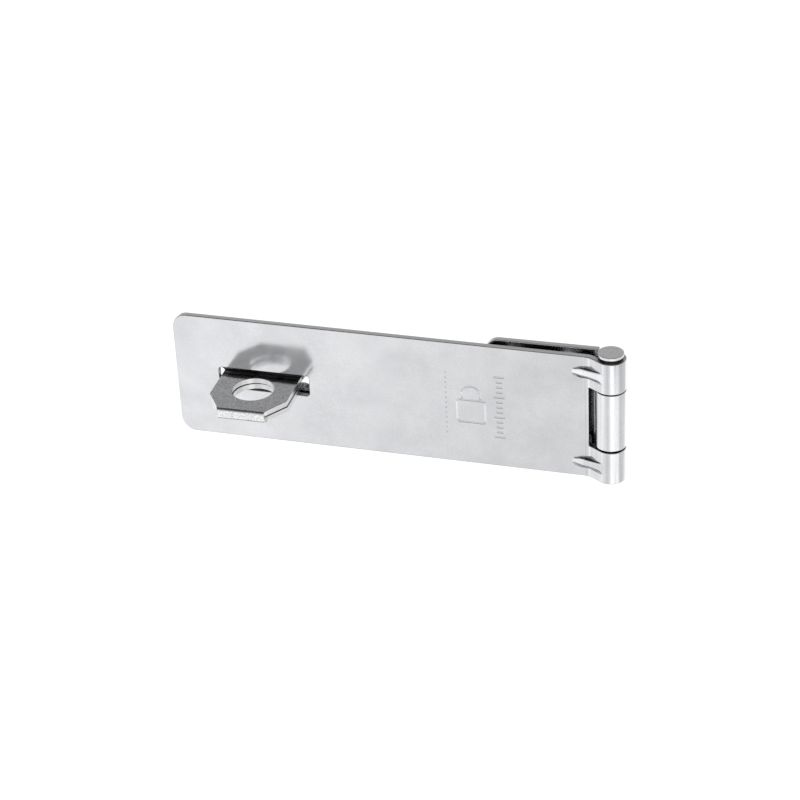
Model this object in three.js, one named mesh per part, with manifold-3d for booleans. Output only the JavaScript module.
// Hasp and staple in zinc-plated sheet steel.
//
// Frame: millimetres, +Z up along the hinge pin, +Y into the wall or door, -Y towards the person
// who opens it, +X towards the hinge. The origin lies on the back of the hinge leaf, in the middle
// of its four screw holes, so the plane y = 0 is the surface that everything is screwed to.
import * as THREE from "three";
import { mergeVertices } from "three/addons/utils/BufferGeometryUtils.js";
import Module from "manifold-3d";

const wasm = await Module();
wasm.setup();

// ---- Driving dimensions ----------------------------------------------------------------------
const SHEET = 2.1;              // thickness of the hasp plate and the hinge leaf
const STAPLE_SHEET = 1.9;       // thickness of the staple's strip
const LENGTH = 155;             // closed length, free end of the hasp to the outside of the hinge
const WIDTH = 45;               // width of the hasp plate
const BARREL_RADIUS = 5.05;     // outside of the rolled knuckles
const GAP = 0.3;                // least clearance between two pieces

const AXIS_X = 25;              // hinge axis, to the right of the leaf's screw pattern
const AXIS_HEIGHT = BARREL_RADIUS;   // hinge axis in front of the mounting plane
const MID_RADIUS = BARREL_RADIUS - SHEET / 2;

// Hasp plate, measured from the hinge axis.
const PLATE_FRONT = 1.4;        // front face of the flat plate, in front of the axis
const PLATE_CORNER = 5;
const BEND_ANGLE = THREE.MathUtils.degToRad(33);
const BEND_RADIUS = 6;          // middle of the sheet, where it kinks forward to the knuckles
const ROLL_END = THREE.MathUtils.degToRad(172);
const NOTCH_DEPTH = 6.8;        // edge of the cut-out for the middle knuckle, from the axis
const SLOT_LENGTH = 32;
const SLOT_HEIGHT = 7.7;
const SLOT_CORNER = 1.2;
const SLOT_NEAR = 102.7;        // slot end nearest the hinge, from the axis

// Knuckles, measured along the pin.
const UPPER_JOINT = 11;         // middle knuckle's top, against the upper knuckle
const LOWER_JOINT = -9.9;       // middle knuckle's bottom
const LOWER_PLAY = 0.7;         // free play below the middle knuckle

// Pressed ribs over the bend beside each outer knuckle.
const RIB_HEIGHT = 17;          // above and below the middle of the plate
const RIB_CENTRE = { x: -7.6, y: -2 };
const RIB_HALF = { x: 4.9, y: 0.9, z: 1.75 };
const RIB_SLOPE = THREE.MathUtils.degToRad(-18);

// Hinge leaf, measured from the hinge axis.
const LEAF_REACH = 42.3;
const LEAF_WIDTH = 45.8;
const LEAF_LIFT = 0.4;          // the leaf stands this much high in its play
const LEAF_CORNER = 4.5;
const LEAF_SHOULDER = 4.6;      // where the leaf stops beside the outer knuckles
const LEAF_ROLL = THREE.MathUtils.degToRad(296);
const LEAF_HOLES = { x: 9.5, z: 14.5 };

// Countersunk screw holes.
const SCREW_RADIUS = 2.6;
const SINK_RADIUS = 4.8;
const SINK_LIP = 0.3;           // the cone goes this much deeper than a bare countersink
const OVERCUT = 1;              // a cutter reaches this far past the metal

// Pin.
const PIN_RADIUS = 2.6;
const PIN_HEAD = { radius: 4.27, low: 23.35, high: 24.45, chamfer: 0.15 };
const PIN_RIVET = { radius: 3.4, height: 1.1, steps: 3 };   // hammered dome at the foot

// Staple, measured from its own centre line and from the mounting plane.
const STAPLE_FROM_AXIS = 119.45;
const TAB_HALF = 13.5;
const TAB_NOSE_HALF = 8.15;
const TAB_HEIGHT = 27.3;
const TAB_SHOULDER = 18.6;      // where the nose's slanting corners start
const TAB_FLARE = 2.6;          // radius where the tab widens into its base
const EYE_RADIUS = 7.15;
const EYE_HEIGHT = 13.3;
const FOLD_ROUND = 0.8;         // rounding of the folded nose
const WING_BEND = 1;            // inner radius between the tab and each wing
const BASE_HALF = { x: 19, z: 19.5 };
const BASE_CORNER = 4;
const BASE_HOLES = { x: 11.5, z: 11.8 };

// The closed hasp leans until it rests on the edge of the staple's base.
const PLATE_BACK = SHEET - PLATE_FRONT;
const REST_REACH = STAPLE_FROM_AXIS + BASE_HALF.x;
const REST_TILT = Math.asin((AXIS_HEIGHT - PLATE_BACK - STAPLE_SHEET - GAP) / REST_REACH);

// ---- Solids ----------------------------------------------------------------------------------
function toSolid(geometry) {
  const bare = geometry.clone();
  bare.deleteAttribute("normal");
  bare.deleteAttribute("uv");
  const merged = mergeVertices(bare, 1e-5);
  return new wasm.Manifold(new wasm.Mesh({
    numProp: 3,
    vertProperties: new Float32Array(merged.attributes.position.array),
    triVerts: new Uint32Array(merged.index.array),
  }));
}

function toMesh(solid, name, material) {
  const { vertProperties, triVerts } = solid.getMesh();
  const geometry = new THREE.BufferGeometry();
  geometry.setAttribute("position", new THREE.BufferAttribute(new Float32Array(vertProperties), 3));
  geometry.setIndex(new THREE.BufferAttribute(new Uint32Array(triVerts), 1));
  geometry.computeVertexNormals();
  const mesh = new THREE.Mesh(geometry, material);
  mesh.name = name;
  return mesh;
}

// Extrudes an outline drawn in x and y along Z.
function alongZ(outline, low, high) {
  const geometry = new THREE.ExtrudeGeometry(outline, {
    depth: high - low, bevelEnabled: false, curveSegments: 12,
  });
  return toSolid(geometry.translate(0, 0, low));
}

// Extrudes an outline drawn in x and z along Y.
function alongY(outline, low, high) {
  const geometry = new THREE.ExtrudeGeometry(outline, {
    depth: high - low, bevelEnabled: false, curveSegments: 12,
  });
  geometry.rotateX(Math.PI / 2);
  return toSolid(geometry.translate(0, high, 0));
}

// Extrudes an outline drawn in height (towards -Y) and z along X.
function alongX(outline, low, high) {
  const geometry = new THREE.ExtrudeGeometry(outline, {
    depth: high - low, bevelEnabled: false, curveSegments: 12,
  });
  geometry.rotateZ(-Math.PI / 2);
  geometry.rotateY(-Math.PI / 2);
  return toSolid(geometry.translate(high, 0, 0));
}

function roundedRectangle(left, right, low, high, radius) {
  const shape = new THREE.Shape();
  shape.moveTo(left + radius, low);
  shape.lineTo(right - radius, low);
  shape.absarc(right - radius, low + radius, radius, -Math.PI / 2, 0);
  shape.absarc(right - radius, high - radius, radius, 0, Math.PI / 2);
  shape.absarc(left + radius, high - radius, radius, Math.PI / 2, Math.PI);
  shape.absarc(left + radius, low + radius, radius, Math.PI, Math.PI * 1.5);
  return shape;
}

// Outline of a bent sheet. The middle of the sheet starts at a point, heading along +X, and
// follows the steps: a straight run, or a turn (anticlockwise positive) on a radius.
function bentSheet(start, steps) {
  const middle = [{ x: start.x, y: start.y, heading: 0 }];
  for (const { run, turn, radius } of steps) {
    const from = middle[middle.length - 1];
    if (run) {
      const x = from.x + run * Math.cos(from.heading);
      const y = from.y + run * Math.sin(from.heading);
      middle.push({ x, y, heading: from.heading });
      continue;
    }
    const side = Math.sign(turn);
    const centreX = from.x - side * radius * Math.sin(from.heading);
    const centreY = from.y + side * radius * Math.cos(from.heading);
    const count = Math.ceil(Math.abs(turn) / THREE.MathUtils.degToRad(9));
    for (let i = 1; i <= count; i += 1) {
      const heading = from.heading + (turn * i) / count;
      const x = centreX + side * radius * Math.sin(heading);
      const y = centreY - side * radius * Math.cos(heading);
      middle.push({ x, y, heading });
    }
  }
  const offset = (distance) => ({ x, y, heading }) =>
    new THREE.Vector2(x - distance * Math.sin(heading), y + distance * Math.cos(heading));
  const right = middle.map(offset(-SHEET / 2));
  const left = middle.map(offset(SHEET / 2));
  return new THREE.Shape([...right, ...left.reverse()]);
}

// Countersunk hole through a sheet whose front is at -height; the cone opens forwards.
function countersink(x, z, height) {
  const profile = [
    new THREE.Vector2(0, -OVERCUT),
    new THREE.Vector2(SCREW_RADIUS, -OVERCUT),
    new THREE.Vector2(SCREW_RADIUS, height - (SINK_RADIUS - SCREW_RADIUS) + SINK_LIP),
    new THREE.Vector2(SINK_RADIUS, height + SINK_LIP),
    new THREE.Vector2(SINK_RADIUS, height + OVERCUT),
    new THREE.Vector2(0, height + OVERCUT),
  ];
  const geometry = new THREE.LatheGeometry(profile, 28);
  geometry.rotateX(Math.PI);
  return toSolid(geometry.translate(x, 0, z));
}

// ---- Materials -------------------------------------------------------------------------------
const plateZinc = new THREE.MeshStandardMaterial({ color: 0xd7d8dc, metalness: 1, roughness: 0.3 });
const leafZinc = new THREE.MeshStandardMaterial({ color: 0xcfd0d4, metalness: 1, roughness: 0.32 });
const stapleZinc = new THREE.MeshStandardMaterial({ color: 0xc6c7cb, metalness: 1, roughness: 0.28 });
const pinSteel = new THREE.MeshStandardMaterial({ color: 0xa9aaae, metalness: 1, roughness: 0.35 });

// ---- Sub-parts -------------------------------------------------------------------------------
// Each hinged piece is drawn round the hinge axis, with -Y to the front.
function haspPlate() {
  const freeEnd = -(LENGTH - BARREL_RADIUS);
  const middle = SHEET / 2 - PLATE_FRONT;
  const rollStart = new THREE.Vector2(-Math.sin(BEND_ANGLE), -Math.cos(BEND_ANGLE))
    .multiplyScalar(MID_RADIUS);
  const bendDrop = BEND_RADIUS * (1 - Math.cos(BEND_ANGLE));
  const slant = (middle - bendDrop - rollStart.y) / Math.sin(BEND_ANGLE);
  const bendStart = rollStart.x - slant * Math.cos(BEND_ANGLE) - BEND_RADIUS * Math.sin(BEND_ANGLE);
  const sheet = bentSheet({ x: freeEnd, y: middle }, [
    { run: bendStart - freeEnd },
    { turn: -BEND_ANGLE, radius: BEND_RADIUS },
    { run: slant },
    { turn: ROLL_END + Math.PI / 2 + BEND_ANGLE, radius: MID_RADIUS },
  ]);

  const half = WIDTH / 2;
  const reach = BARREL_RADIUS + OVERCUT;
  const outline = new THREE.Shape();
  outline.moveTo(freeEnd + PLATE_CORNER, -half);
  outline.lineTo(reach, -half);
  outline.lineTo(reach, LOWER_JOINT - LOWER_PLAY);
  outline.lineTo(-NOTCH_DEPTH, LOWER_JOINT - LOWER_PLAY);
  outline.lineTo(-NOTCH_DEPTH, UPPER_JOINT + GAP);
  outline.lineTo(reach, UPPER_JOINT + GAP);
  outline.lineTo(reach, half);
  outline.lineTo(freeEnd + PLATE_CORNER, half);
  outline.absarc(freeEnd + PLATE_CORNER, half - PLATE_CORNER, PLATE_CORNER, Math.PI / 2, Math.PI);
  outline.absarc(freeEnd + PLATE_CORNER, PLATE_CORNER - half, PLATE_CORNER, Math.PI, Math.PI * 1.5);
  outline.holes.push(roundedRectangle(-SLOT_NEAR - SLOT_LENGTH, -SLOT_NEAR,
    -SLOT_HEIGHT / 2, SLOT_HEIGHT / 2, SLOT_CORNER));

  let solid = alongZ(sheet, -half, half).intersect(alongY(outline, -reach, reach));
  for (const side of [-1, 1]) {
    const rib = new THREE.SphereGeometry(1, 24, 12);
    rib.scale(RIB_HALF.x, RIB_HALF.y, RIB_HALF.z);
    rib.rotateZ(RIB_SLOPE);
    rib.translate(RIB_CENTRE.x, RIB_CENTRE.y, side * RIB_HEIGHT);
    solid = solid.add(toSolid(rib));
  }
  return solid;
}

function hingeLeaf() {
  const low = LEAF_LIFT - LEAF_WIDTH / 2;
  const high = LEAF_LIFT + LEAF_WIDTH / 2;
  const outline = new THREE.Shape();
  outline.moveTo(-LEAF_REACH + LEAF_CORNER, low);
  outline.lineTo(-LEAF_SHOULDER, low);
  outline.lineTo(-LEAF_SHOULDER, high);
  outline.lineTo(-LEAF_REACH + LEAF_CORNER, high);
  outline.absarc(-LEAF_REACH + LEAF_CORNER, high - LEAF_CORNER, LEAF_CORNER, Math.PI / 2, Math.PI);
  outline.absarc(-LEAF_REACH + LEAF_CORNER, low + LEAF_CORNER, LEAF_CORNER, Math.PI, Math.PI * 1.5);
  const flat = alongY(outline, MID_RADIUS - SHEET / 2, MID_RADIUS + SHEET / 2);

  const neck = LEAF_SHOULDER + OVERCUT;
  const rolled = bentSheet({ x: -neck, y: MID_RADIUS }, [
    { run: neck },
    { turn: -LEAF_ROLL, radius: MID_RADIUS },
  ]);

  let solid = flat.add(alongZ(rolled, LOWER_JOINT, UPPER_JOINT));
  for (const x of [-LEAF_HOLES.x, LEAF_HOLES.x]) {
    for (const z of [-LEAF_HOLES.z, LEAF_HOLES.z]) {
      const hole = countersink(x - AXIS_X, z + LEAF_LIFT, SHEET);
      solid = solid.subtract(hole.translate([0, AXIS_HEIGHT, 0]));
    }
  }
  return solid;
}

function hingePin() {
  const low = -WIDTH / 2 - GAP;
  const profile = [];
  for (let i = 0; i <= PIN_RIVET.steps; i += 1) {
    const angle = (Math.PI / 2) * (i / PIN_RIVET.steps);
    const y = low - PIN_RIVET.height * Math.cos(angle);
    profile.push(new THREE.Vector2(PIN_RIVET.radius * Math.sin(angle), y));
  }
  profile.push(
    new THREE.Vector2(PIN_RADIUS, low),
    new THREE.Vector2(PIN_RADIUS, PIN_HEAD.low),
    new THREE.Vector2(PIN_HEAD.radius, PIN_HEAD.low),
    new THREE.Vector2(PIN_HEAD.radius, PIN_HEAD.high - PIN_HEAD.chamfer),
    new THREE.Vector2(PIN_HEAD.radius - PIN_HEAD.chamfer, PIN_HEAD.high),
    new THREE.Vector2(0, PIN_HEAD.high),
  );
  const geometry = new THREE.LatheGeometry(profile, 36);
  geometry.rotateX(Math.PI / 2);
  return geometry;
}

// One strip folded double for the tab, its two ends spread as wings. Drawn round the tab's
// centre line, on the mounting plane.
function staple() {
  const outside = WING_BEND + STAPLE_SHEET;
  const quarter = Math.PI / 2;
  const section = new THREE.Shape();
  section.moveTo(0, BASE_HALF.z);
  section.lineTo(0, outside);
  section.absarc(outside, outside, outside, Math.PI, -quarter, false);
  section.absarc(outside, -outside, outside, quarter, Math.PI, false);
  section.lineTo(0, -BASE_HALF.z);
  section.lineTo(STAPLE_SHEET, -BASE_HALF.z);
  section.absarc(outside, -outside, WING_BEND, Math.PI, quarter, true);
  section.absarc(TAB_HEIGHT - FOLD_ROUND, FOLD_ROUND - STAPLE_SHEET, FOLD_ROUND, -quarter, 0, false);
  section.absarc(TAB_HEIGHT - FOLD_ROUND, STAPLE_SHEET - FOLD_ROUND, FOLD_ROUND, 0, quarter, false);
  section.absarc(outside, outside, WING_BEND, -quarter, Math.PI, true);
  section.lineTo(STAPLE_SHEET, BASE_HALF.z);

  const face = new THREE.Shape();
  face.moveTo(-BASE_HALF.x, -OVERCUT);
  face.lineTo(BASE_HALF.x, -OVERCUT);
  face.lineTo(BASE_HALF.x, STAPLE_SHEET);
  face.absarc(TAB_HALF + TAB_FLARE, STAPLE_SHEET + TAB_FLARE, TAB_FLARE, -quarter, Math.PI, true);
  face.lineTo(TAB_HALF, TAB_SHOULDER);
  face.lineTo(TAB_NOSE_HALF, TAB_HEIGHT);
  face.lineTo(-TAB_NOSE_HALF, TAB_HEIGHT);
  face.lineTo(-TAB_HALF, TAB_SHOULDER);
  face.absarc(-TAB_HALF - TAB_FLARE, STAPLE_SHEET + TAB_FLARE, TAB_FLARE, 0, -quarter, true);
  face.lineTo(-BASE_HALF.x, STAPLE_SHEET);
  const eye = new THREE.Path();
  eye.absarc(0, EYE_HEIGHT, EYE_RADIUS, 0, Math.PI * 2, false);
  face.holes.push(eye);

  const base = roundedRectangle(-BASE_HALF.x, BASE_HALF.x, -BASE_HALF.z, BASE_HALF.z, BASE_CORNER);
  const tall = BASE_HALF.z + OVERCUT;
  let solid = alongX(section, -BASE_HALF.x - OVERCUT, BASE_HALF.x + OVERCUT);
  solid = solid.intersect(alongZ(face, -tall, tall).mirror([0, 1, 0]));
  solid = solid.intersect(alongY(base, -TAB_HEIGHT - OVERCUT, OVERCUT));
  for (const x of [-BASE_HOLES.x, BASE_HOLES.x]) {
    for (const z of [-BASE_HOLES.z, BASE_HOLES.z]) {
      solid = solid.subtract(countersink(x, z, STAPLE_SHEET));
    }
  }
  return solid;
}

// ---- Assembly --------------------------------------------------------------------------------
const haspAndStaple = new THREE.Group();

const hinge = new THREE.Group();
hinge.position.set(AXIS_X, -AXIS_HEIGHT, 0);
haspAndStaple.add(hinge);
hinge.add(toMesh(hingeLeaf(), "hinge_leaf", leafZinc));

const hasp = new THREE.Group();
hasp.rotation.z = -REST_TILT;
hinge.add(hasp);
hasp.add(toMesh(haspPlate(), "hasp_plate", plateZinc));
const pin = new THREE.Mesh(hingePin(), pinSteel);
pin.name = "hinge_pin";
hasp.add(pin);

const keeper = toMesh(staple(), "staple", stapleZinc);
keeper.position.x = AXIS_X - STAPLE_FROM_AXIS;
haspAndStaple.add(keeper);

export default haspAndStaple;
